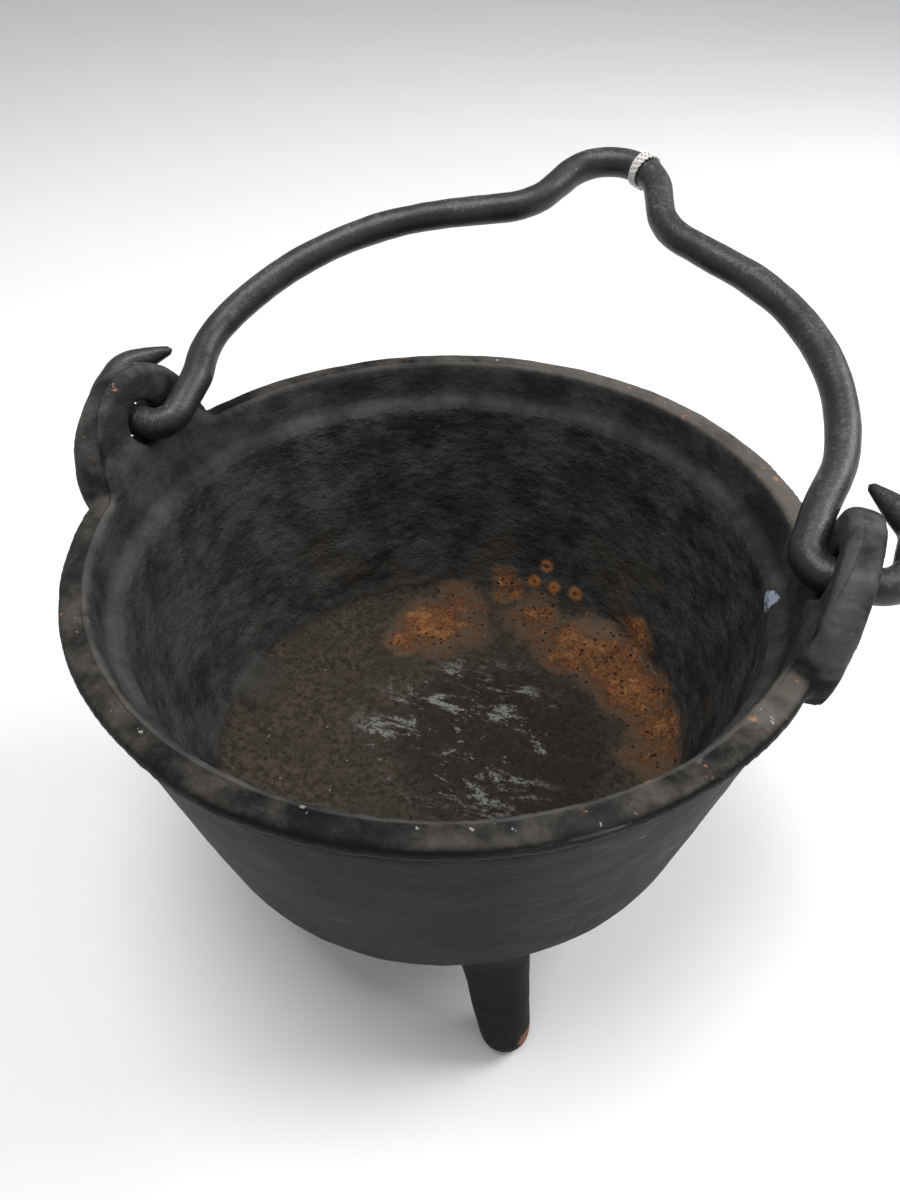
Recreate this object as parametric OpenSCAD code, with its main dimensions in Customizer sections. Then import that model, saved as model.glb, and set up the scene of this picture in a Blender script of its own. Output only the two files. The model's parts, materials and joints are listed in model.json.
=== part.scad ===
// Three-legged cast-iron cauldron with pierced ears and a swinging forged bail.
// All lengths are millimetres and all angles are degrees.
// Z points up and Z = 0 is the ground under the feet. The pot's axis is the Z axis.
// The bail's hinge line runs along X through both ears, a little behind the axis.
// At rest the bail leans back towards +Y.

/* [Pot] */
// Diameter over the rim
rim_d = 250; // [240:1:256]
// Height of the rim's top above the ground
rim_h = 179.6; // [176:0.2:180]
// Inside diameter at the top of the rim
mouth_d = 230.5; // [226:0.5:234]
// Depth of the rim band, down to the top of the bowl
band_h = 17.4; // [16:0.2:20]
// Depth of the thick lip on the outside of the band
lip_h = 6; // [4:0.5:9]
// Outside diameter of the wall just under the lip
neck_d = 243; // [240:0.5:246]
// Outside diameter where the wall's slope meets the bottom
heel_d = 196; // [190:1:204]
// Depth of the bottom's outside below the rim
pot_depth = 115; // [112:0.5:118]
// Radius of the outside corner between wall and bottom
corner_r = 16; // [10:1:24]
// Width of the ledge at the foot of the rim band
ledge_w = 5; // [3:0.5:7]
// Diameter where the inside wall's slope meets the floor
floor_d = 184; // [176:1:188]
// Depth of the inside floor below the rim
floor_depth = 107; // [104:0.5:109]
// Radius of the inside corner between floor and wall
floor_corner_r = 9; // [6:1:12]
// How far the inside wall bows outwards
wall_bow = 2; // [0:0.5:3]

/* [Ears] */
// Radius of the round ear plates
ear_r = 32.3; // [31:0.1:33]
// Thickness of the ear plates
ear_t = 11; // [9:0.5:12]
// Distance from the pot's axis to an ear's inner face, at the rim
ear_x = 117; // [116.5:0.5:118]
// How far the ears and the hinge line stand behind the pot's axis
ear_back = 3.2; // [0:0.2:4]
// Outward lean of the ears
ear_lean = 6.3; // [4:0.1:8]
// Depth of the ears' feet below the rim's top
ear_foot_h = 10.6; // [8:0.2:14]
// Height of the ear holes above the rim's top
hole_z = 12.8; // [12:0.2:14]
// Diameter of the ear holes
hole_d = 15; // [14:0.5:16]

/* [Legs] */
// Direction of the front leg, turned from the X axis
leg_turn = -58; // [-62:0.5:-50]
// Distance from the pot's axis to the top of a leg's axis
leg_top_x = 82.5; // [78:0.5:86]
// Depth below the rim of the top of a leg's axis
leg_top_depth = 112.5; // [110:0.5:114]
// Splay of the legs from upright
leg_splay = 11; // [6:0.5:14]
// Sideways turn of the front leg's splay
leg_skew = 24; // [0:1:30]
// Diameter of a leg at its top
leg_top_d = 27; // [24:0.5:30]
// Diameter of a leg's round end
leg_end_d = 19.5; // [18:0.5:21]
// Height of the round end's part that the ground has worn away
leg_wear = 1; // [0.5:0.1:2]

/* [Bail] */
// Diameter of the bail's rod
rod_d = 11.4; // [10:0.1:12]
// Angle of the resting bail above the horizontal
rest_angle = 20; // [20:1:160]
// Diameter of the tips of the bail's tails
tip_d = 4.4; // [3:0.2:6]

/* [String] */
// Diameter of the string
string_d = 1.3; // [1:0.1:2]
// Distance between the turns of string along the rod
turn_step = 1.35; // [1:0.05:2]
// Place of the middle turn, turned round the hump from the bail's hinge line
string_turn = 56; // [40:1:80]
// Gap between the string and the rod
string_gap = 0.02; // [0.01:0.01:0.1]
// Diameter of the string's knot
knot_d = 3; // [2:0.2:4]
// Place of the knot round the rod, turned down from the hump's outer side
knot_turn = 100; // [80:5:120]

/* [Hidden] */
rim_r = rim_d / 2;
mouth_r = mouth_d / 2;
rod_r = rod_d / 2;
leg_end_r = leg_end_d / 2;
hole_h = rim_h + hole_z;
// Inside radius at the foot of the band, above and below its ledge
band_foot_r = mouth_r - 1.8;
bowl_mouth_r = band_foot_r - ledge_w;
// Slope of the outside wall, and where it meets the band's foot
wall_slope = atan((neck_d - heel_d) / 2 / (pot_depth - lip_h));
band_out_r = neck_d / 2 - (band_h - lip_h) * tan(wall_slope);
// Centre of the outside corner between wall and bottom
corner_z = corner_r - pot_depth;
corner_x = heel_d / 2 + corner_r * tan(wall_slope) - corner_r / cos(wall_slope);
// Slope of the inside wall, and the centre of the floor's corner
in_slope = atan((bowl_mouth_r - floor_d / 2) / (floor_depth - band_h));
floor_corner_z = floor_corner_r - floor_depth;
floor_corner_x = floor_d / 2 + floor_corner_r * tan(in_slope)
    - floor_corner_r / cos(in_slope);
// Where the straight run of the inside wall starts, above the floor's corner
in_foot = [floor_corner_x + floor_corner_r * cos(in_slope),
    floor_corner_z - floor_corner_r * sin(in_slope)];
bow_steps = 8;
// The legs' splayed axes end at the centres of their round ends
leg_end_z = leg_end_r - leg_wear;
leg_len = (rim_h - leg_top_depth - leg_end_z) / cos(leg_splay);

// Corners of the rod's axis in the bail's plane: along the hinge line, away
// from it, and the radius of the bend at that corner
bail_path = [
    [142, 22, 9],
    [141, 0, 10],
    [111, 0, 8.5],
    [112.8, 22, 30],
    [116.3, 41, 40],
    [109.1, 98.3, 91],
    [36.7, 134.3, 27],
    [13, 205.9, 20],
    [-15.7, 138.7, 25],
    [-99.8, 109.7, 103],
    [-115.1, 41.2, 40],
    [-109.9, 25, 30],
    [-108.5, 0, 8.5],
    [-141, 0, 10],
    [-141, 22.5, 9],
];
// Tips of the two tails, whose last runs taper
right_tip = [125, 35.5];
left_tip = [-126.5, 34.8];
// Place of the hump's corner in the path
hump = 7;
hump_r = bail_path[hump][2];
// How far a run reaches into its bends, and how much thinner a bend is
run_let = 0.4;
bend_thin = 0.3;

// Length of a flat vector
function len2(v) = sqrt(v[0] * v[0] + v[1] * v[1]);

// Unit vector from point a to point b
function along(a, b) = [b[0] - a[0], b[1] - a[1]] / len2([b[0] - a[0], b[1] - a[1]]);

// Signed turn from direction a to direction b
function turn(a, b) = atan2(a[0] * b[1] - a[1] * b[0], a[0] * b[0] + a[1] * b[1]);

// Centre of the bend at corner p between directions u and v, with bend radius r
function bend_centre(p, u, v, r) =
    let (t = turn(u, v), back = r * tan(abs(t) / 2), side = sign(t))
    [p[0] - u[0] * back - u[1] * r * side, p[1] - u[1] * back + u[0] * r * side];

// Outline of everything inside the outer surface of the bowl, from the axis out
module bowl_outline() {
    polygon([
        [0, -pot_depth],
        [corner_x, -pot_depth],
        [corner_x + corner_r * cos(wall_slope), corner_z - corner_r * sin(wall_slope)],
        [band_out_r, -band_h],
        [0, -band_h]
    ]);
    translate([corner_x, corner_z])
        circle(r = corner_r, $fn = 96);
}

// Outline of the bowl's hollow
module hollow_outline() {
    polygon(concat(
        [[0, 1 - band_h], [0, -floor_depth], [floor_corner_x, -floor_depth]],
        [for (i = [0:bow_steps]) let (u = i / bow_steps)
            [in_foot[0] + (bowl_mouth_r - in_foot[0]) * u + 4 * wall_bow * u * (1 - u),
             in_foot[1] + (-band_h - in_foot[1]) * u]],
        [[bowl_mouth_r, 1 - band_h]]
    ));
    translate([floor_corner_x, floor_corner_z])
        circle(r = floor_corner_r, $fn = 96);
}

// Outline of everything inside the outer surface of the band
module band_outline() {
    polygon([
        [0, -band_h],
        [band_out_r, -band_h],
        [neck_d / 2, -lip_h - 1],
        [rim_r - 0.6, -lip_h],
        [rim_r, -lip_h + 1.5],
        [rim_r, -2],
        [rim_r - 2, 0],
        [0, 0]
    ]);
    translate([rim_r - 2, -2])
        circle(r = 2, $fn = 48);
}

module bowl() {
    color("#3b3d3d")
    translate([0, 0, rim_h])
        rotate_extrude($fn = 240)
            difference() {
                bowl_outline();
                hollow_outline();
            }
}

module rim_band() {
    color("#454646")
    translate([0, 0, rim_h])
        rotate_extrude($fn = 240)
            difference() {
                band_outline();
                polygon([
                    [0, -band_h - 1],
                    [bowl_mouth_r, -band_h - 1],
                    [bowl_mouth_r, -band_h],
                    [band_foot_r, -band_h + 2.3],
                    [mouth_r, -1.5],
                    [mouth_r + 1.5, 0],
                    [mouth_r + 1.5, 1],
                    [0, 1]
                ]);
            }
}

// Round plate with its foot cut to sit on the band and its hole bored through
module ear() {
    difference() {
        intersection() {
            translate([ear_x, ear_back, rim_h])
                rotate([0, 90 + ear_lean, 0])
                    cylinder(h = ear_t, r = ear_r, $fn = 180);
            translate([ear_x - 10, ear_back - ear_r - 1, rim_h - ear_foot_h])
                cube([40, 2 * ear_r + 2, ear_foot_h + ear_r + 5]);
        }
        translate([0, 0, rim_h])
            rotate_extrude($fn = 240)
                band_outline();
        translate([ear_x - 10, ear_back, hole_h])
            rotate([0, 90, 0])
                cylinder(h = 40, d = hole_d, $fn = 96);
    }
}

module ear_right() {
    color("#4a4b4a")
    ear();
}

module ear_left() {
    color("#4a4b4a")
    mirror([1, 0, 0])
        ear();
}

// Splayed leg with a round end worn flat on the ground
module leg(skew) {
    difference() {
        intersection() {
            translate([leg_top_x, 0, rim_h - leg_top_depth])
                rotate([0, 0, skew])
                    rotate([0, 180 - leg_splay, 0]) {
                        translate([0, 0, -14])
                            cylinder(h = 14.01, d = leg_top_d, $fn = 96);
                        cylinder(h = leg_len, d1 = leg_top_d, d2 = leg_end_d, $fn = 96);
                        translate([0, 0, leg_len])
                            sphere(d = leg_end_d, $fn = 96);
                    }
            cylinder(h = rim_h, r = rim_r + 40, $fn = 96);
        }
        translate([0, 0, rim_h])
            rotate_extrude($fn = 240)
                bowl_outline();
    }
}

module leg_front() {
    color("#3f4141")
    rotate([0, 0, leg_turn])
        leg(leg_skew);
}

module leg_back() {
    color("#3f4141")
    rotate([0, 0, leg_turn + 120])
        leg(0);
}

module leg_left() {
    color("#3f4141")
    rotate([0, 0, leg_turn + 240])
        leg(0);
}

// Straight run of rod between two points, with its ends let into the bends
module run(a, b, d1, d2) {
    translate([a[0], a[1], 0])
        rotate([0, 0, atan2(b[1] - a[1], b[0] - a[0])])
            rotate([0, 90, 0])
                translate([0, 0, -run_let])
                    cylinder(h = len2([b[0] - a[0], b[1] - a[1]]) + 2 * run_let,
                        d1 = d1, d2 = d2, $fn = 64);
}

// Bend of rod at corner p between directions u and v, with bend radius r
module bend(p, u, v, r) {
    t = turn(u, v);
    centre = bend_centre(p, u, v, r);
    first = t > 0 ? atan2(-u[0], u[1]) : atan2(u[0], -u[1]) + t;
    translate([centre[0], centre[1], 0])
        rotate([0, 0, first])
            rotate_extrude(angle = abs(t), $fn = 240)
                translate([r, 0])
                    circle(d = rod_d - bend_thin, $fn = 64);
}

// Rod through all its corners. The first and last runs are the tapered tails.
module bail_bar() {
    path = concat([[right_tip[0], right_tip[1], 0]], bail_path,
        [[left_tip[0], left_tip[1], 0]]);
    last = len(path) - 1;
    dirs = [for (i = [0:last - 1]) along(path[i], path[i + 1])];
    cuts = [for (i = [0:last]) i == 0 || i == last
        ? 0
        : path[i][2] * tan(abs(turn(dirs[i - 1], dirs[i])) / 2)];
    for (i = [0:last - 1])
        run([path[i][0] + dirs[i][0] * cuts[i], path[i][1] + dirs[i][1] * cuts[i]],
            [path[i + 1][0] - dirs[i][0] * cuts[i + 1],
             path[i + 1][1] - dirs[i][1] * cuts[i + 1]],
            i == 0 ? tip_d : rod_d,
            i == last - 1 ? tip_d : rod_d);
    for (i = [1:last - 1])
        bend(path[i], dirs[i - 1], dirs[i], path[i][2]);
    for (p = [path[0], path[last]])
        translate([p[0], p[1], 0])
            sphere(d = tip_d, $fn = 48);
}

// Puts a shape drawn in the bail's plane at its resting place
module at_rest() {
    translate([0, ear_back, hole_h])
        rotate([rest_angle, 0, 0])
            children();
}

module bail() {
    color("#4c4e4f")
    at_rest()
        bail_bar();
}

// Three turns of string side by side, and the knot under the middle one
module string_tie() {
    ring_r = rod_r + string_gap + string_d / 2;
    step_angle = turn_step / hump_r * 180 / PI;
    centre = bend_centre(bail_path[hump],
        along(bail_path[hump - 1], bail_path[hump]),
        along(bail_path[hump], bail_path[hump + 1]),
        hump_r);
    color("#c9c5b8")
    at_rest()
        translate([centre[0], centre[1], 0])
            for (i = [-1:1])
                rotate([0, 0, string_turn + i * step_angle])
                    translate([hump_r, 0, 0])
                        rotate([90, 0, 0]) {
                            rotate_extrude($fn = 96)
                                translate([ring_r, 0])
                                    circle(d = string_d, $fn = 24);
                            if (i == 0)
                                rotate([0, 0, -knot_turn])
                                    translate([ring_r + 0.3 * knot_d, 0, 0])
                                        sphere(d = knot_d, $fn = 36);
                        }
}

bowl();
rim_band();
ear_right();
ear_left();
leg_front();
leg_back();
leg_left();
bail();
string_tie();
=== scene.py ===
"""A three-legged cast-iron cauldron with a swinging forged bail.

The casting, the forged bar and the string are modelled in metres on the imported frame.
Z is up from the ground, the bail's hinge line runs along X and the bail rests towards +Y.
"""

import json
from math import atan2, ceil, cos, pi, radians, sin, sqrt, tan

import bmesh
import bpy
from mathutils import Matrix, Vector, noise


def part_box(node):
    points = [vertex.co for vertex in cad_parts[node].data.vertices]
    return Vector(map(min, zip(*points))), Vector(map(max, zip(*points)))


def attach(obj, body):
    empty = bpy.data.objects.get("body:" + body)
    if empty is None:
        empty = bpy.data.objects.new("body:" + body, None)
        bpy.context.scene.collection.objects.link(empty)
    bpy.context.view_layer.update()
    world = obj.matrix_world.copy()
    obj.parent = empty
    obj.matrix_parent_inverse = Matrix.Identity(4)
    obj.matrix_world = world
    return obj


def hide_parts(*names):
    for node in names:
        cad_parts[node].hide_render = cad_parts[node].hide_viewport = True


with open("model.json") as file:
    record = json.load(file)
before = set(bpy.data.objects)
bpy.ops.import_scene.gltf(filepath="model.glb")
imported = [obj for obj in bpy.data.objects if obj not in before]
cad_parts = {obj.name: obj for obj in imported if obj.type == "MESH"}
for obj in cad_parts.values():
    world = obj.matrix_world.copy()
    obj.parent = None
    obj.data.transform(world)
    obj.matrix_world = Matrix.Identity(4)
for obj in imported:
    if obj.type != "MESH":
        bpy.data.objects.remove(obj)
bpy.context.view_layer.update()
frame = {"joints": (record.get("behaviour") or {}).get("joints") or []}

MM = 0.001

# ---------------------------------------------------------------- driving sizes
rim_low, rim_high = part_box("rim_band")
bowl_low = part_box("bowl")[0]
ear_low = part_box("ear_right")[0]
HINGE = Vector(frame["joints"][0]["pos_m"])
RIM_Z = rim_high.z
RIM_R = rim_high.x
BAND_H = RIM_Z - rim_low.z
POT_DEPTH = RIM_Z - bowl_low.z

MOUTH_R = 115.25 * MM
LIP_H = 6 * MM
NECK_R = 121.5 * MM
HEEL_R = 98 * MM
CORNER_R = 16 * MM
BAND_FOOT_R = 113.45 * MM
BOWL_MOUTH_R = 108.45 * MM
FLOOR_R = 92 * MM
FLOOR_DEPTH = 107 * MM
FLOOR_CORNER_R = 9 * MM
WALL_BOW = 2 * MM
WALL_SLOPE = (NECK_R - HEEL_R) / (POT_DEPTH - LIP_H)
BAND_OUT_R = NECK_R - (BAND_H - LIP_H) * WALL_SLOPE

EAR_R = 32.3 * MM
EAR_T = 11 * MM
EAR_X = 117 * MM
EAR_LEAN = radians(6.3)
# Drilled 0.4 mm over size; softening the casting takes back 0 to 0.2 mm of that on average
EAR_HOLE_R = 7.9 * MM

LEG_TURN = radians(-58)
LEG_TOP_X = 82.5 * MM
LEG_TOP_DEPTH = 112.5 * MM
LEG_SPLAY = radians(11)
LEG_SKEW = radians(24)
LEG_TOP_R = 13.5 * MM
LEG_END_R = 9.75 * MM
LEG_WEAR = 1 * MM

CASTING_GRID = 1.82 * MM
CASTING_SOFTENING = 3

ROD_R = 5.7 * MM
REST = radians(20)
# Corners of the bar's axis in the bail's plane, in mm: along the hinge line, away from it and
# the radius of the bend there
BAIL_PATH = [
    (125, 35.5, 0),
    (142, 22, 9),
    (141, 0, 10),
    (111, 0, 8.5),
    (112.8, 22, 30),
    (116.3, 41, 40),
    (109.1, 98.3, 91),
    (36.7, 134.3, 27),
    (13, 205.9, 20),
    (-15.7, 138.7, 25),
    (-99.8, 109.7, 103),
    (-115.1, 41.2, 40),
    (-109.9, 25, 30),
    (-108.5, 0, 8.5),
    (-141, 0, 10),
    (-141, 22.5, 9),
    (-126.5, 34.8, 0),
]
HUMP = 8
HUMP_R = BAIL_PATH[HUMP][2] * MM
TAIL_TAPER = 26 * MM
TAIL_TIP_R = 1.5 * MM

STRING_R = 0.70 * MM
STRING_TURNS = 3
STRING_STEP = 1.5 * MM
STRING_PLACE = radians(58)
STRING_START = radians(-100)
PLY_R = 0.41 * MM
PLY_OFF = 0.31 * MM
PLY_LAY = 3.8 * MM


# ---------------------------------------------------------------- camera and light
def turned(vector, axis, angle):
    """The vector turned about an axis."""
    return Matrix.Rotation(angle, 3, axis) @ vector


def place_camera():
    """Stands the camera to the right of the front, above the rim, looking down into the pot."""
    azimuth, height = radians(22.4), radians(37.36)
    yaw, pitch, roll = radians(-0.21), radians(-4.48), radians(0.75)
    distance = 2.4954 * RIM_R
    rim_centre = Vector((0, 0, RIM_Z))
    away = Vector((cos(height) * sin(azimuth), -cos(height) * cos(azimuth), sin(height)))
    forward = -away
    right = Vector((cos(azimuth), sin(azimuth), 0))
    up = right.cross(forward)
    forward, right = (turned(v, up, yaw) for v in (forward, right))
    forward, up = (turned(v, right, pitch) for v in (forward, up))
    right, up = (turned(v, forward, roll) for v in (right, up))
    data = bpy.data.cameras.new("camera")
    data.lens = 27.9
    data.clip_start = 0.01
    camera = bpy.data.objects.new("camera", data)
    bpy.context.scene.collection.objects.link(camera)
    place = Matrix((right, up, -forward)).transposed().to_4x4()
    place.translation = rim_centre + away * distance
    camera.matrix_world = place
    bpy.context.scene.camera = camera


def area_light(name, place, size, power, target):
    """Round soft light that faces its target."""
    data = bpy.data.lights.new(name, "AREA")
    data.shape = "DISK"
    data.size = size
    data.energy = power
    light = bpy.data.objects.new(name, data)
    light.location = place
    light.rotation_euler = (Vector(target) - Vector(place)).to_track_quat("-Z", "Y").to_euler()
    bpy.context.scene.collection.objects.link(light)


def place_lights():
    """Soft daylight all round, with more of it from a window at the back right and overhead."""
    bpy.context.scene.view_settings.view_transform = "Standard"
    world = bpy.data.worlds.new("studio")
    world.use_nodes = True
    sky = world.node_tree.nodes["Background"]
    sky.inputs["Color"].default_value = (0.95, 0.97, 1.0, 1)
    sky.inputs["Strength"].default_value = 0.46
    bpy.context.scene.world = world
    size, power, target = 0.8, 17, (0, 0, 0.12)
    area_light("window", (0.95, 0.65, 1.15), size, power, target)
    area_light("overhead", (-0.10, -0.18, 1.6), size, power, target)


# ---------------------------------------------------------------- node materials
class Link:
    """An output socket that takes part in arithmetic."""

    def __init__(self, finish, socket):
        self.finish, self.socket = finish, socket

    def _math(self, operation, *values):
        return self.finish.node("ShaderNodeMath", {"operation": operation}, dict(enumerate(values)))

    def __add__(self, other):
        return self._math("ADD", self, other)

    __radd__ = __add__

    def __sub__(self, other):
        return self._math("SUBTRACT", self, other)

    def __rsub__(self, other):
        return self._math("SUBTRACT", other, self)

    def __mul__(self, other):
        return self._math("MULTIPLY", self, other)

    __rmul__ = __mul__

    def __pow__(self, other):
        return self._math("POWER", self, other)

    def __abs__(self):
        return self._math("ABSOLUTE", self)

    def over(self, other):
        return self._math("MAXIMUM", self, other)

    def under(self, other):
        return self._math("MINIMUM", self, other)


class Finish:
    """One node material on a Principled shader."""

    def __init__(self, name):
        self.material = bpy.data.materials.new(name)
        self.material.use_nodes = True
        self.tree = self.material.node_tree
        self.shader = self.tree.nodes["Principled BSDF"]
        place = self.tree.nodes.new("ShaderNodeTexCoord")
        self.place = Link(self, place.outputs["Object"])
        self.x, self.y, self.z = self.parts(self.place)
        self.facing = self.parts(Link(self, place.outputs["Normal"]))[2]

    def node(self, kind, settings=None, values=None, output=0):
        """Adds a node, sets it up, fills its sockets and gives one of its outputs."""
        made = self.tree.nodes.new(kind)
        for key, value in (settings or {}).items():
            setattr(made, key, value)
        for key, value in (values or {}).items():
            if isinstance(value, Link):
                self.tree.links.new(value.socket, made.inputs[key])
            else:
                made.inputs[key].default_value = value
        return Link(self, made.outputs[output])

    def set(self, **values):
        """Fills the shader's sockets, named with underscores, with links or plain values."""
        for key, value in values.items():
            socket = self.shader.inputs[key.replace("_", " ")]
            if isinstance(value, Link):
                self.tree.links.new(value.socket, socket)
            else:
                socket.default_value = value

    def parts(self, vector):
        """The three numbers of a vector or colour."""
        split = self.node("ShaderNodeSeparateXYZ", None, {0: vector}).socket.node
        return [Link(self, out) for out in split.outputs]

    def noise(self, scale, detail=3.0, rough=0.5, at=None, bend=0.0, output=0):
        return self.node(
            "ShaderNodeTexNoise",
            None,
            {"Vector": at or self.place, "Scale": scale, "Detail": detail,
             "Roughness": rough, "Distortion": bend},
            output,
        )

    def cells(self, scale, at=None, output="Distance"):
        return self.node(
            "ShaderNodeTexVoronoi",
            None,
            {"Vector": at or self.place, "Scale": scale, "Randomness": 1.0},
            output,
        )

    def rise(self, value, low, high):
        """0 below low, 1 above high, smooth between; turned round when low is above high."""
        return self.node(
            "ShaderNodeMapRange",
            {"interpolation_type": "SMOOTHSTEP"},
            {"Value": value, "From Min": low, "From Max": high},
        )

    def mix(self, amount, under, over):
        """Lays the colour `over` on the colour `under`."""
        fill = [c if isinstance(c, Link) else (*c, 1) for c in (under, over)]
        return self.node(
            "ShaderNodeMix", {"data_type": "RGBA"}, {0: amount, 6: fill[0], 7: fill[1]}, 2
        )

    def stretched(self, scale, turn=(0, 0, 0)):
        """Object coordinates turned and then squeezed or drawn out."""
        return self.node(
            "ShaderNodeMapping", None, {"Vector": self.place, "Rotation": turn, "Scale": scale}
        )

    def shifted(self, scale, reach):
        """Object coordinates pushed about by noise, for ragged edges."""
        push = self.noise(scale, 3, 0.6, output="Color")
        half = self.node(
            "ShaderNodeVectorMath", {"operation": "SUBTRACT"}, {0: push, 1: (0.5, 0.5, 0.5)}
        )
        scaled = self.node(
            "ShaderNodeVectorMath", {"operation": "SCALE"}, {0: half, "Scale": reach}
        )
        return self.node("ShaderNodeVectorMath", {"operation": "ADD"}, {0: self.place, 1: scaled})

    def patch(self, at, centre, radius, soft=0.5):
        """1 inside a ball round centre, fading out over its outer part."""
        gap = self.node(
            "ShaderNodeVectorMath", {"operation": "DISTANCE"}, {0: at, 1: centre}, "Value"
        )
        return self.rise(gap, radius, radius * (1 - soft))

    def bump(self, height, distance, strength=1.0, under=None):
        values = {"Height": height, "Distance": distance, "Strength": strength}
        if under:
            values["Normal"] = under
        return self.node("ShaderNodeBump", None, values)

    def most(self, links):
        """The greatest of several masks."""
        total = links[0]
        for link in links[1:]:
            total = total.over(link)
        return total


# Rust on the floor and the foot of the wall: place in mm from the pot's axis and rim, radius
# and strength
RUST_BEDS = [
    (-31, 58, -107, 19, 1.0),
    (-39, 46, -107, 11, 0.9),
    (-25, 76, -104, 13, 0.9),
    (-14, 62, -107, 14, 0.5),
    (-6, 91, -100, 9, 1.0),
    (12, 78, -105, 16, 0.75),
    (31, 68, -107, 18, 0.85),
    (50, 65, -107, 18, 1.0),
    (60, 74, -96, 10, 0.9),
    (66, 50, -107, 17, 1.0),
    (77, 35, -106, 15, 0.85),
    (80, 18, -105, 14, 0.6),
]
# Round rust blisters low on the back wall
RUST_SPOTS = [(11, 96, -88, 4.2), (6, 94, -97, 4), (16, 92, -97, 4.4), (27, 91, -96, 4.6)]


def from_rim(x, y, depth):
    """Place of a point given in mm from the pot's axis and from its rim."""
    return (x * MM, y * MM, RIM_Z + depth * MM)


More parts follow.
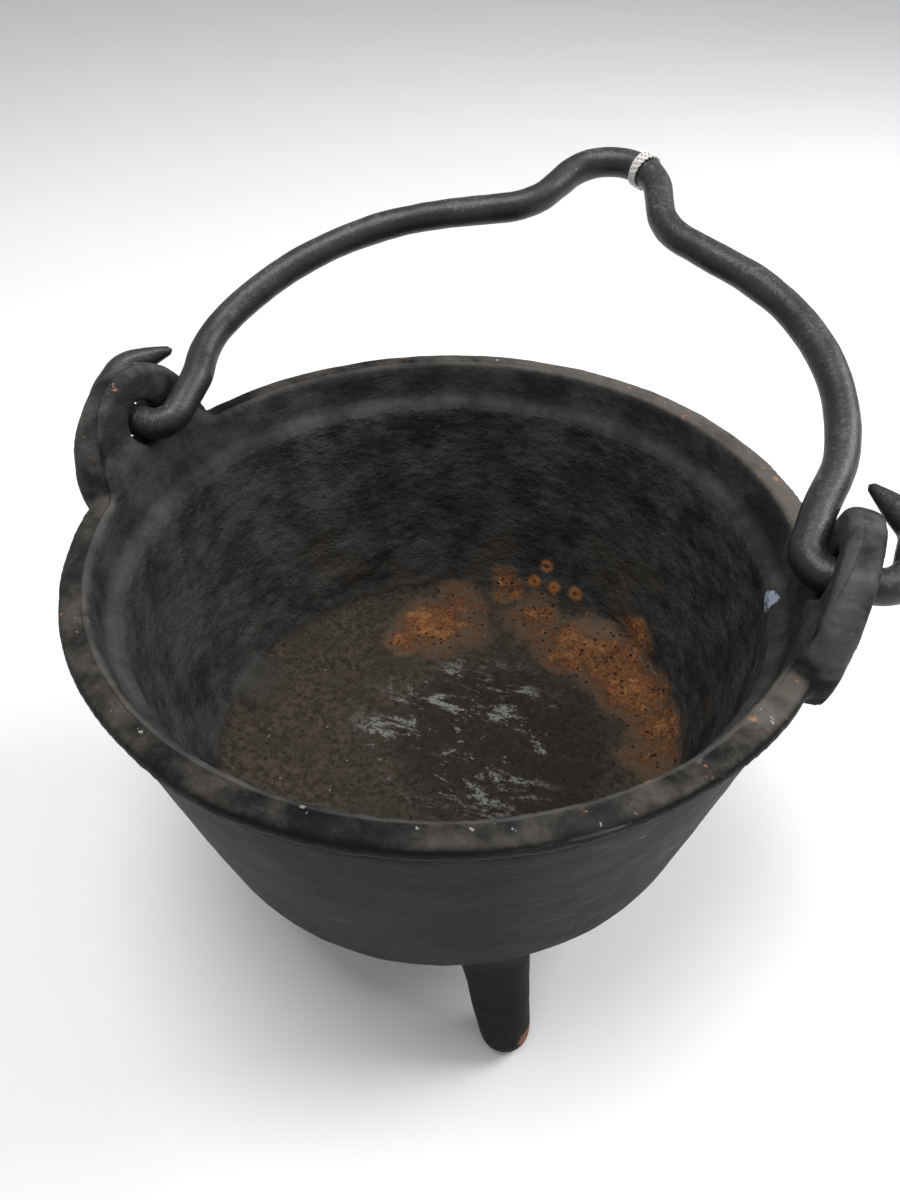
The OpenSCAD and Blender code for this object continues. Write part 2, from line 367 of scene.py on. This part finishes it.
def casting_finish():
    """Blackened cast iron: sooty and pitted inside, worn on the rim, rusty on the floor, with
    painted light on the rim's back right and painted shade under the lip and on the legs.
    """
    f = Finish("blackened_cast_iron")
    depth = f.z - RIM_Z
    radius = (f.x * f.x + f.y * f.y) ** 0.5
    slow = f.noise(14, 4, 0.55)
    patchy = f.noise(55, 5, 0.62)
    grain = f.noise(420, 4, 0.65)
    fine = f.noise(1500, 2, 0.6)
    crumbs = f.noise(260, 6, 0.74)

    # Places on the casting, each a mask
    wall_line = (depth + BAND_H) * WALL_SLOPE + (BAND_OUT_R - 5 * MM)
    inside = f.rise(wall_line - radius, 0.0, 0.8 * MM)
    inside = inside * f.rise(depth, -FLOOR_DEPTH - 5 * MM, -FLOOR_DEPTH - 3 * MM)
    floor = inside * f.rise(depth, -FLOOR_DEPTH + 6 * MM, -FLOOR_DEPTH + 1.5 * MM)
    wall = inside * f.rise(depth, -16 * MM, -18.5 * MM) * (1 - floor)
    collar = inside * (1 - wall) * (1 - floor)
    outside = 1 - inside
    up = f.rise(f.facing, 0.45, 0.95)
    beside = abs(f.y - HINGE.y)
    web = f.rise(beside, 31 * MM, 27 * MM) * f.rise(radius, 105 * MM, 110 * MM)
    web = web * f.rise(depth, -4 * MM, -1 * MM)
    rim_top = f.rise(depth, -2.8 * MM, -0.8 * MM) * up * (1 - web)
    crown = (beside * beside + depth * depth) ** 0.5
    ear_rim = f.rise(depth, 1 * MM, 3 * MM) * f.rise(crown, 28.5 * MM, 30.5 * MM)
    # Painted shade: marks the foot of the outside and the legs, which stand in the pot's shadow
    low = outside * f.rise(depth, -98 * MM, -116 * MM)

    # Outside: dark paint over iron, clouded and lightly scuffed, most of all on its right, with a
    # painted shadow line under the lip and painted shade on the foot of the pot and the legs
    colour = f.mix(f.rise(slow, 0.36, 0.66), (0.0050, 0.0052, 0.0049), (0.0140, 0.0142, 0.0132))
    colour = f.mix(f.rise(patchy, 0.50, 0.72) * 0.55 * outside, colour, (0.030, 0.029, 0.0265))
    drag = f.noise(1, 4, 0.65, at=f.stretched((30, 30, 620), (0.5, 0.35, 0.2)))
    chafed = f.rise(f.x + f.y * 0.4, 0.0, 0.10) * 0.13
    rubs = f.rise(drag + chafed, 0.64, 0.71) * f.rise(patchy, 0.48, 0.62) * outside * (1 - low)
    colour = f.mix(rubs * (0.35 + chafed * 2), colour, (0.14, 0.137, 0.128))
    # Painted shadow: a broken black line just under the lip, where the lip's overhang throws shade
    line = f.rise(depth, -6.0 * MM, -7.0 * MM) * f.rise(depth, -10.0 * MM, -8.2 * MM) * outside
    colour = f.mix(line * f.rise(f.noise(90, 4, 0.7), 0.36, 0.50) * 0.9, colour, (0.0015,) * 3)
    # Painted shade: the foot of the outside and the legs darkened as if in the pot's shadow
    colour = f.mix(low * 0.85, colour, (0.0025, 0.0025, 0.0024))

    # Inside wall: matt soot with grey and brown ghosts
    soot = f.mix(f.rise(patchy, 0.33, 0.68), (0.022, 0.0225, 0.0230), (0.056, 0.0570, 0.0570))
    soot = f.mix(f.rise(crumbs, 0.55, 0.70) * 0.5, soot, (0.080, 0.081, 0.081))
    brown = f.rise(f.noise(30, 4, 0.6), 0.46, 0.66) * f.rise(depth, -30 * MM, -100 * MM)
    soot = f.mix(brown * 0.7, soot, (0.060, 0.048, 0.035))
    colour = f.mix(wall, colour, soot)
    dusk = f.mix(f.rise(patchy, 0.35, 0.65), (0.025, 0.0252, 0.0246), (0.056, 0.0552, 0.0530))
    colour = f.mix(collar, colour, dusk)

    # Floor: brown grey grains, darker in the middle
    dirt = f.mix(f.rise(grain, 0.36, 0.64), (0.028, 0.0236, 0.0175), (0.069, 0.0585, 0.0435))
    dirt = f.mix(f.rise(patchy, 0.38, 0.64) * 0.6, dirt, (0.042, 0.035, 0.027))
    ragged = f.shifted(45, 26 * MM)
    damp = f.patch(ragged, from_rim(22, 2, -107), 52 * MM, 0.35)
    dirt = f.mix(damp * 0.62, dirt, (0.020, 0.0165, 0.0155))
    colour = f.mix(floor, colour, dirt)

    # Ash: crumbly pale streaks in the middle of the floor
    bed = f.patch(ragged, from_rim(6, 2, -107), 50 * MM, 0.45)
    streaks = f.noise(1, 8, 0.72, at=f.stretched((34, 84, 60), (0, 0, -0.40)), bend=0.5)
    flakes = f.noise(1, 5, 0.7, at=f.stretched((120, 210, 200), (0, 0, -0.40)))
    ash = f.rise(streaks, 0.525, 0.575) * f.rise(flakes, 0.44, 0.51)
    ash = ash.over(f.rise(flakes, 0.62, 0.66)) * bed * floor
    ash = ash * f.rise(f.noise(800, 4, 0.7) + patchy * 0.3, 0.52, 0.66)
    colour = f.mix(ash * 0.85, colour, (0.27, 0.265, 0.245))

    # Rust: a brown stain, broken orange bloom over it, and black crumbs
    frayed = f.shifted(85, 15 * MM)
    beds = [f.patch(frayed, from_rim(x, y, z), r * 1.35 * MM, 0.85) * s
            for x, y, z, r, s in RUST_BEDS]
    bed = f.most(beds) * inside
    cloud = f.noise(75, 6, 0.68)
    stain = f.rise(bed + (cloud - 0.5) * 0.9, 0.0, 0.50) * inside * f.rise(bed, 0.0, 0.16)
    colour = f.mix(stain * 0.8, colour, (0.125, 0.077, 0.049))
    scale = f.noise(620, 5, 0.72)
    broken = (crumbs - 0.5) * 1.1 + (cloud - 0.5) * 2.4 + (scale - 0.5) * 0.9
    bloom = f.rise(bed + broken, 0.42, 0.92) * f.rise(bed, 0.04, 0.18) * inside
    tone = f.mix(f.rise(scale, 0.38, 0.62), (0.120, 0.052, 0.026), (0.275, 0.112, 0.042))
    tone = f.mix(f.rise(f.noise(120, 5, 0.70), 0.52, 0.62) * 0.75, tone, (0.46, 0.200, 0.070))
    tone = f.mix(f.rise(f.noise(90, 5, 0.70), 0.55, 0.66) * 0.75, tone, (0.050, 0.028, 0.018))
    colour = f.mix(bloom * 0.85, colour, tone)
    close = f.shifted(260, 2.4 * MM)
    spots = f.most([f.patch(close, from_rim(x, y, z), r * MM, 0.6) for x, y, z, r in RUST_SPOTS])
    hearts = f.most([f.patch(close, from_rim(x, y, z), r * 0.42 * MM, 0.6)
                     for x, y, z, r in RUST_SPOTS])
    colour = f.mix((spots * inside * (0.4 + crumbs)).under(1), colour, (0.38, 0.155, 0.052))
    colour = f.mix(hearts * inside * 0.8, colour, (0.10, 0.040, 0.018))
    near = f.rise(bed, 0.05, 0.35).over(floor * 0.55)
    gaps = f.cells(300, at=f.shifted(300, 2 * MM))
    pits = f.rise(gaps, 0.25, 0.14) * f.rise(patchy, 0.41, 0.50) * near
    colour = f.mix(pits * 0.9, colour, (0.006, 0.005, 0.004))

    # Rim and ear tops: paint worn through to tan grey metal, with painted light making the worn rim
    # lighter and wider towards the back right, where the window lamp shines; the ears' upper edges
    # greyer in patches; orange chips, which the left ear has more of, and a rusty toe on the front
    # leg
    # Painted light: this mask grows towards the back right, where the window lamp shines, and makes
    # the worn rim there lighter and wider
    back = f.rise(f.y * 0.7 + f.x * 0.95, -0.03, 0.13)
    worn = rim_top * f.rise(f.noise(42, 6, 0.66) + back * 0.14, 0.38, 0.68)
    colour = f.mix(worn * (0.52 + 0.30 * back), colour, (0.118, 0.104, 0.090))
    flecks = f.noise(170, 5, 0.66)
    colour = f.mix(ear_rim * f.rise(patchy, 0.30, 0.60) * 0.75, colour, (0.086, 0.084, 0.080))
    on_ear = ear_rim * (0.045 - back * 0.065)
    chips = f.rise(flecks + back * 0.03 + on_ear, 0.665, 0.70) * rim_top.over(ear_rim)
    colour = f.mix(chips * 0.85, colour, (0.29, 0.145, 0.090))
    pale = f.rise(f.noise(210, 3, 0.6), 0.70, 0.73) * rim_top.over(rubs)
    colour = f.mix(pale * 0.7, colour, (0.30, 0.30, 0.29))
    toe_place = (63 * MM, -77.5 * MM, 10 * MM)
    toe = f.patch(f.shifted(200, 6 * MM), toe_place, 6 * MM, 0.3)
    colour = f.mix(toe * f.rise(flecks, 0.42, 0.52), colour, (0.20, 0.085, 0.050))

    # Small light grains on the floor and wall, and one chalky chip on the right of the wall
    chosen = f.rise(f.parts(f.cells(190, output="Color"))[0], 0.74, 0.76)
    grains = f.rise(f.cells(190), 0.10, 0.06) * chosen * (floor + wall * 0.25)
    colour = f.mix(grains * 0.7, colour, (0.30, 0.27, 0.23))
    chalk = f.patch(f.shifted(160, 9 * MM), from_rim(106, 24, -19), 4.6 * MM, 0.3) * inside
    colour = f.mix(chalk * f.rise(crumbs, 0.40, 0.48) * 0.85, colour, (0.30, 0.34, 0.41))

    # Surface: lumpy sand-cast skin, deep pits inside, scale where it rusts
    ripple = f.noise(1, 6, 0.64, at=f.stretched((70, 70, 105), (0.3, 0.5, 0.6)))
    pores = f.rise(f.cells(330), 0.30, 0.05)
    coarse = (wall * 1.4 + collar * 0.8) * ripple + floor * crumbs * 0.7 + outside * patchy * 0.15
    normal = f.bump(coarse, 2.6 * MM, 0.85)
    small = grain * 0.6 + fine * (0.2 + 0.3 * floor) - pores * (0.10 + 0.35 * wall + 0.3 * floor)
    small = small + ash * 0.5 + bloom * crumbs * 0.9 - pits * 0.8 + chips * 0.3
    normal = f.bump(small, 0.6 * MM, 0.8, normal)
    rough = 0.46 + grain * 0.12 + wall * 0.06 + floor * 0.30 + bloom * 0.12
    f.set(Base_Color=colour, Roughness=rough.under(0.95), Normal=normal)
    f.set(IOR=1.15)
    return f.material


def forged_finish():
    """Blackened round bar: smooth scale with soft shine, scuffs and a painted highlight along its
    top, painted glints, tiny rust.
    """
    f = Finish("blackened_forged_bar")
    slow = f.noise(30, 4, 0.55)
    scale = f.noise(160, 5, 0.66)
    grain = f.noise(700, 4, 0.62)
    colour = f.mix(f.rise(slow, 0.35, 0.68), (0.0125, 0.0128, 0.0138), (0.028, 0.0285, 0.0300))
    # Scuffs with painted highlight: lighter streaks on the bar's upward-facing side, where light
    # from above falls
    scuffs_and_sheen = f.rise(grain + scale * 0.35, 0.70, 0.80) * f.rise(f.facing, 0.1, 0.8)
    colour = f.mix(scuffs_and_sheen * f.rise(slow, 0.40, 0.58) * 0.55, colour, (0.12, 0.12, 0.118))
    rust = f.rise(f.noise(95, 5, 0.64), 0.70, 0.73)
    colour = f.mix(rust * 0.8, colour, (0.16, 0.075, 0.048))
    # Painted glints: tiny pale specks over the bar stand in for sparkling highlights
    chosen = f.rise(f.parts(f.cells(160, output="Color"))[1], 0.88, 0.90)
    glint_specks = f.rise(f.cells(160), 0.06, 0.035) * chosen
    colour = f.mix(glint_specks * 0.8, colour, (0.42, 0.38, 0.34))
    normal = f.bump(slow + scale * 0.5, 1.2 * MM, 0.5)
    normal = f.bump(grain + rust * 0.6, 0.4 * MM, 0.5, normal)
    f.set(Base_Color=colour, Roughness=0.34 + scale * 0.16 + rust * 0.3, Normal=normal)
    f.set(Specular_IOR_Level=0.42)
    return f.material


def string_finish():
    """Thin undyed cotton, a little grey from handling."""
    f = Finish("undyed_cotton_string")
    fibre = f.noise(2400, 3, 0.6)
    grime = f.noise(350, 4, 0.6)
    colour = f.mix(f.rise(fibre, 0.3, 0.7), (0.62, 0.59, 0.54), (0.86, 0.83, 0.78))
    colour = f.mix(f.rise(grime, 0.5, 0.75) * 0.4, colour, (0.36, 0.33, 0.29))
    normal = f.bump(fibre, 0.25 * MM, 0.7)
    f.set(Base_Color=colour, Roughness=0.92, Normal=normal)
    return f.material


def floor_finish():
    """Pale matt paper."""
    f = Finish("pale_studio_floor")
    colour = f.mix(f.noise(6, 3, 0.5), (0.86, 0.86, 0.86), (0.90, 0.90, 0.90))
    f.set(Base_Color=colour, Roughness=0.9)
    return f.material


# ---------------------------------------------------------------- shapes
def bent_path(corners, step):
    """Flat path through corners of (x, y, bend radius), with an arc at each bend."""
    path = [Vector(corners[0][:2])]
    for before, corner, after in zip(corners, corners[1:], corners[2:]):
        place, bend = Vector(corner[:2]), corner[2]
        into = (place - Vector(before[:2])).normalized()
        out = (Vector(after[:2]) - place).normalized()
        turn = atan2(into.x * out.y - into.y * out.x, into.dot(out))
        if bend == 0 or abs(turn) < 1e-4:
            path.append(place)
            continue
        side = 1 if turn > 0 else -1
        start = place - into * bend * tan(abs(turn) / 2)
        centre = start + Vector((-into.y, into.x)) * bend * side
        count = max(3, ceil(bend * abs(turn) / step))
        for i in range(count + 1):
            path.append(centre + Matrix.Rotation(turn * i / count, 2) @ (start - centre))
    path.append(Vector(corners[-1][:2]))
    return path


def even_path(path, step):
    """The same path with long runs cut into steps."""
    dense = []
    for a, b in zip(path, path[1:]):
        count = max(1, ceil((b - a).length / step))
        dense += [a.lerp(b, i / count) for i in range(count)]
    return dense + [path[-1]]


def add_object(name, mesh):
    made = bpy.data.objects.new(name, mesh)
    bpy.context.scene.collection.objects.link(made)
    return made


def object_from(bm, name):
    mesh = bpy.data.meshes.new(name)
    bm.to_mesh(mesh)
    bm.free()
    return add_object(name, mesh)


def final_mesh(source, name):
    """The object's mesh with its modifiers applied; the source goes away."""
    bpy.context.view_layer.update()
    graph = bpy.context.evaluated_depsgraph_get()
    mesh = bpy.data.meshes.new_from_object(source.evaluated_get(graph))
    mesh.name = name
    bpy.data.objects.remove(source)
    return mesh


def spun(profile, steps):
    """Solid of revolution about Z from a flat profile of (radius, height)."""
    bm = bmesh.new()
    verts = [bm.verts.new((p.x, 0, p.y)) for p in profile]
    edges = [bm.edges.new(pair) for pair in zip(verts, verts[1:])]
    bmesh.ops.spin(bm, geom=verts + edges, cent=(0, 0, 0), axis=(0, 0, 1), angle=2 * pi,
                   steps=steps, use_merge=True)
    bmesh.ops.remove_doubles(bm, verts=bm.verts, dist=1e-6)
    bmesh.ops.recalc_face_normals(bm, faces=bm.faces)
    return bm


def cut_below(bm, height):
    """Cuts off everything under a height and closes the cut."""
    geometry = bm.verts[:] + bm.edges[:] + bm.faces[:]
    cut = bmesh.ops.bisect_plane(bm, geom=geometry, dist=1e-7, plane_co=(0, 0, height),
                                 plane_no=(0, 0, 1), clear_inner=True)
    rim = [g for g in cut["geom_cut"] if isinstance(g, bmesh.types.BMEdge)]
    bmesh.ops.holes_fill(bm, edges=rim, sides=0)
    bmesh.ops.recalc_face_normals(bm, faces=bm.faces)


def bowl_and_band():
    """Pot turned from one outline: up the outside, over the lip and down the bowed inside."""
    outside = [(0, -POT_DEPTH, 0), (HEEL_R, -POT_DEPTH, CORNER_R)]
    groove = [(NECK_R - 0.5 * MM, -LIP_H - 5 * MM, 3 * MM),
              (NECK_R - 1.6 * MM, -LIP_H - 0.8 * MM, 0.8 * MM)]
    lip = [(RIM_R - 0.3 * MM, -LIP_H + 0.4 * MM, 1 * MM), (RIM_R, 0, 2.6 * MM),
           (MOUTH_R, 0, 2.0 * MM)]
    collar = [(BAND_FOOT_R, -BAND_H + 2.3 * MM, 2 * MM), (BOWL_MOUTH_R, -BAND_H, 2.2 * MM)]
    wall = []
    for i in range(1, 8):
        u = i / 8
        wall.append((BOWL_MOUTH_R + (FLOOR_R - BOWL_MOUTH_R) * u + 4 * WALL_BOW * u * (1 - u),
                     -BAND_H + (BAND_H - FLOOR_DEPTH) * u, 60 * MM))
    floor = [(FLOOR_R, -FLOOR_DEPTH, FLOOR_CORNER_R), (0, -FLOOR_DEPTH, 0)]
    corners = [(r, RIM_Z + z, bend) for r, z, bend in outside + groove + lip + collar + wall + floor]
    return spun(bent_path(corners, 1.2 * MM), 160)


def ear_plate():
    """Round plate with rounded edges, leaning out and cut at its foot."""
    bm = bmesh.new()
    bmesh.ops.create_circle(bm, cap_ends=True, radius=EAR_R, segments=96)
    made = bmesh.ops.extrude_face_region(bm, geom=bm.faces[:])
    raised = [g for g in made["geom"] if isinstance(g, bmesh.types.BMVert)]
    bmesh.ops.translate(bm, verts=raised, vec=(0, 0, EAR_T))
    bmesh.ops.recalc_face_normals(bm, faces=bm.faces)
    edges = [e for e in bm.edges if abs(e.verts[0].co.z - e.verts[1].co.z) < 1e-6]
    bmesh.ops.bevel(bm, geom=edges, offset=3.0 * MM, segments=5, profile=0.5,
                    affect="EDGES", material=-1)
    place = Matrix.Translation((EAR_X, HINGE.y, RIM_Z)) @ Matrix.Rotation(pi / 2 + EAR_LEAN, 4, "Y")
    bmesh.ops.transform(bm, matrix=place, verts=bm.verts)
    cut_below(bm, ear_low.z)
    return bm


def ear_web():
    """Wedge that fills the corner between the curved band and the flat ear."""
    bm = bmesh.new()
    bmesh.ops.create_cube(bm, size=1)
    place = Matrix.Translation((EAR_X - 1.5 * MM, HINGE.y, RIM_Z + 3 * MM))
    shape = Matrix.Diagonal((17 * MM, 2 * EAR_R - 5 * MM, 26 * MM, 1))
    bmesh.ops.transform(bm, matrix=place @ shape, verts=bm.verts)
    geometry = bm.verts[:] + bm.edges[:] + bm.faces[:]
    cut = bmesh.ops.bisect_plane(bm, geom=geometry, dist=1e-7, plane_co=(EAR_X, 0, RIM_Z + 9 * MM),
                                 plane_no=(-1.7, 0, 1), clear_outer=True)
    rim = [g for g in cut["geom_cut"] if isinstance(g, bmesh.types.BMEdge)]
    bmesh.ops.holes_fill(bm, edges=rim, sides=0)
    bmesh.ops.recalc_face_normals(bm, faces=bm.faces)
    return bm


def round_cutter(name, low, high, low_r, high_r, matrix):
    """Cone or cylinder between two heights on its own axis, put in place by the matrix."""
    bm = bmesh.new()
    middle = Matrix.Translation((0, 0, (low + high) / 2))
    bmesh.ops.create_cone(bm, cap_ends=True, radius1=low_r, radius2=high_r, depth=high - low,
                          segments=128, matrix=matrix @ middle)
    return object_from(bm, name)


def carved(bm, name, cutters):
    """The shape less the cutters, as a mesh."""
    body = object_from(bm, name)
    for cutter in cutters:
        cut = body.modifiers.new("cut", "BOOLEAN")
        cut.operation, cut.solver, cut.object = "DIFFERENCE", "EXACT", cutter
    mesh = final_mesh(body, name)
    for cutter in cutters:
        bpy.data.objects.remove(cutter)
    return mesh


def ear():
    """Pierced plate and the web at its foot, which carries the band's inside face up."""
    axis = Matrix.Translation((EAR_X, HINGE.y, HINGE.z)) @ Matrix.Rotation(pi / 2, 4, "Y")
    reach = 30 * MM
    drills = [round_cutter("drill", -reach, reach, EAR_HOLE_R, EAR_HOLE_R, axis)
              for _ in ("plate", "web")]
    flare, low, high = tan(EAR_LEAN), -16 * MM, 24 * MM
    hollow = round_cutter("hollow", low, high, MOUTH_R + low * flare, MOUTH_R + high * flare,
                          Matrix.Translation((0, 0, RIM_Z)))
    bm = bmesh.new()
    bm.from_mesh(carved(ear_plate(), "pierced_ear", drills[:1]))
    bm.from_mesh(carved(ear_web(), "ear_web", [hollow, drills[1]]))
    return bm


def leg(skew, turn):
    """Splayed leg, thickened where it leaves the pot, with its round end worn flat."""
    fall = RIM_Z - LEG_TOP_DEPTH - (LEG_END_R - LEG_WEAR)
    length = fall / cos(LEG_SPLAY)
    end = LEG_END_R
    tip = [(end * sin(a), -end * cos(a), 0) for a in (pi / 2 * i / 12 for i in range(13))]
    shaft = [(LEG_TOP_R * 0.86, length * 0.55, 60 * MM), (LEG_TOP_R, length * 0.86, 20 * MM),
             (LEG_TOP_R + 2.6 * MM, length + 3 * MM, 6 * MM), (LEG_TOP_R, length + 9 * MM, 0),
             (0, length + 9 * MM, 0)]
    bm = spun(bent_path(tip + shaft, 2 * MM), 48)
    # The leg is drawn upright from its round end, then hung from its top
    place = (Matrix.Rotation(turn, 4, "Z")
             @ Matrix.Translation((LEG_TOP_X, 0, RIM_Z - LEG_TOP_DEPTH))
             @ Matrix.Rotation(skew, 4, "Z") @ Matrix.Rotation(-LEG_SPLAY, 4, "Y")
             @ Matrix.Translation((0, 0, -length)))
    bmesh.ops.transform(bm, matrix=place, verts=bm.verts)
    cut_below(bm, 0)
    return bm


def join(whole, part):
    """Adds one bmesh to another."""
    mesh = bpy.data.meshes.new("part")
    part.to_mesh(mesh)
    part.free()
    whole.from_mesh(mesh)


def uneven(point):
    """How far the sand mould's unevenness moves the casting's skin at a point."""
    depth = point.z - RIM_Z
    radius = sqrt(point.x ** 2 + point.y ** 2)
    wall_line = BAND_OUT_R - 5 * MM + (depth + BAND_H) * WALL_SLOPE
    inside = radius < wall_line and depth > -FLOOR_DEPTH - 4 * MM
    slow = noise.noise(point * 24) * 0.5 * MM + noise.noise(point * 60) * 0.22 * MM
    if inside and depth < -FLOOR_DEPTH + 3 * MM:
        return slow * 0.6 + noise.fractal(point * 150, 0.9, 2.1, 4) * 0.22 * MM
    if inside and depth < -17 * MM:
        skewed = Vector((point.x + point.z * 0.6, point.y - point.z * 0.5, point.z * 1.5))
        lumps = noise.fractal(skewed * 95, 0.9, 2.0, 4)
        return slow + lumps * 0.38 * MM - max(0, noise.noise(skewed * 260) - 0.2) * 0.8 * MM
    return slow + noise.fractal(point * 110, 1.0, 2.0, 3) * 0.17 * MM


def casting():
    """Bowl, band, ears and legs cast in one, so their joins are soft."""
    bm = bowl_and_band()
    for side in (1, -1):
        part = ear()
        bmesh.ops.transform(part, matrix=Matrix.Diagonal((side, 1, 1, 1)), verts=part.verts)
        bmesh.ops.recalc_face_normals(part, faces=part.faces)
        join(bm, part)
    for skew, turn in ((LEG_SKEW, 0), (0, 2 * pi / 3), (0, 4 * pi / 3)):
        join(bm, leg(skew, LEG_TURN + turn))
    body = object_from(bm, "casting_rough")
    skin = body.modifiers.new("skin", "REMESH")
    skin.mode, skin.voxel_size = "VOXEL", CASTING_GRID
    soften = body.modifiers.new("soften", "SMOOTH")
    soften.factor, soften.iterations = 0.5, CASTING_SOFTENING
    mesh = final_mesh(body, "casting")
    normals = [n.vector.copy() for n in mesh.vertex_normals]
    for vertex, normal in zip(mesh.vertices, normals):
        vertex.co += normal * uneven(vertex.co)
        vertex.co.z = max(0, vertex.co.z)
    mesh.shade_smooth()
    piece = add_object("casting", mesh)
    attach(piece, "pot")
    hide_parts("bowl", "rim_band", "ear_right", "ear_left", "leg_front", "leg_back",
                "leg_left")
    piece.data.materials.clear()
    piece.data.materials.append(casting_finish())


def in_bail_plane(across, away, off=0.0):
    """A point of the resting bail: along the hinge line, away from it, and off its plane."""
    return Vector((across, HINGE.y + away * cos(REST) - off * sin(REST),
                   HINGE.z + away * sin(REST) + off * cos(REST)))


def tube(name, points, radii, roundness):
    """Mesh tube with closed ends through the points, as wide at each as its radius."""
    data = bpy.data.curves.new(name, "CURVE")
    data.dimensions = "3D"
    data.bevel_depth = 1.0
    data.bevel_resolution = roundness
    data.use_fill_caps = True
    spline = data.splines.new("POLY")
    spline.points.add(len(points) - 1)
    for slot, point, radius in zip(spline.points, points, radii):
        slot.co = (*point, 1)
        slot.radius = radius
    return final_mesh(add_object(name, data), name)


def bail():
    """Forged bar: pierces the ears, carries the hump, and ends in two drawn-out tails."""
    corners = [(x * MM, y * MM, bend * MM) for x, y, bend in BAIL_PATH]
    flat = even_path(bent_path(corners, 0.9 * MM), 1.3 * MM)
    runs = [0.0]
    for a, b in zip(flat, flat[1:]):
        runs.append(runs[-1] + (b - a).length)
    radii = []
    for run in runs:
        to_end = min(run, runs[-1] - run)
        drawn = min(1, to_end / TAIL_TAPER)
        swell = 1.0 + 0.03 * cos(min(1, to_end / (90 * MM)) * pi)
        radius = TAIL_TIP_R + (ROD_R * swell - TAIL_TIP_R) * sin(drawn * pi / 2)
        round_off = min(1, to_end / (1.6 * MM))
        radii.append(radius * max(0.25, sqrt(1 - (1 - round_off) ** 2)))
    mesh = tube("bail", [in_bail_plane(*p) for p in flat], radii, 6)
    bm = bmesh.new()
    bm.from_mesh(mesh)
    bmesh.ops.remove_doubles(bm, verts=bm.verts, dist=1e-6)
    bm.normal_update()
    for vert in bm.verts:
        flats = noise.noise(vert.co * 60) * 0.38 * MM + noise.noise(vert.co * 200) * 0.12 * MM
        vert.co += vert.normal * flats
    bm.to_mesh(mesh)
    bm.free()
    mesh.shade_smooth()
    piece = add_object("forged_bail", mesh)
    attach(piece, "bail")
    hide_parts("bail")
    piece.data.materials.clear()
    piece.data.materials.append(forged_finish())


def hump_centre():
    """Centre of the hump's bend in the bail's plane."""
    a, b, c = (Vector(p[:2]) * MM for p in BAIL_PATH[HUMP - 1:HUMP + 2])
    into, out = (b - a).normalized(), (c - b).normalized()
    half_turn = into.angle(out) / 2
    return b + (out - into).normalized() * HUMP_R / cos(half_turn)


def string_tie():
    """Two-ply string: three turns round the hump, and a small knot under it."""
    centre = hump_centre()
    coil_r = ROD_R * 0.98 + STRING_R

    def at(angle, out=0.0, side=0.0):
        """Point of the string's axis; out and side are offsets across it."""
        along = ((angle - STRING_START) / (2 * pi) - STRING_TURNS / 2) * STRING_STEP + side
        arc = STRING_PLACE + along / HUMP_R
        reach = HUMP_R + (coil_r + out) * cos(angle)
        return in_bail_plane(centre.x + reach * cos(arc), centre.y + reach * sin(arc),
                             (coil_r + out) * sin(angle))

    bm = bmesh.new()
    count = STRING_TURNS * 72
    for ply in (0, pi):
        points = []
        for i in range(count + 1):
            angle = STRING_START + 2 * pi * STRING_TURNS * i / count
            twist = ply + angle * coil_r * 2 * pi / PLY_LAY
            points.append(at(angle, PLY_OFF * cos(twist), PLY_OFF * sin(twist)))
        bm.from_mesh(tube("ply", points, [PLY_R] * len(points), 2))
    knot_at = at(STRING_START, 0.9 * MM, STRING_STEP * STRING_TURNS / 2)
    knot_r, knot_depth, knot_ply_r = 0.85 * MM, 0.7 * MM, 0.42 * MM
    for ply in (0, pi):
        points = []
        for i in range(61):
            a = 2 * pi * i / 60
            lobe = knot_r * (1 + 0.35 * cos(3 * a + ply))
            points.append(knot_at + Vector((lobe * cos(2 * a), lobe * sin(2 * a) * 0.8,
                                            knot_depth * sin(3 * a + ply))))
        bm.from_mesh(tube("knot_ply", points, [knot_ply_r] * len(points), 2))
    piece = object_from(bm, "string_turns")
    piece.data.shade_smooth()
    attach(piece, "bail")
    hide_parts("string_tie")
    piece.data.materials.clear()
    piece.data.materials.append(string_finish())


def studio_floor():
    bm = bmesh.new()
    bmesh.ops.create_grid(bm, x_segments=1, y_segments=1, size=6)
    floor = object_from(bm, "studio_floor")
    floor.data.materials.append(floor_finish())


place_camera()
place_lights()
studio_floor()
casting()
bail()
string_tie()
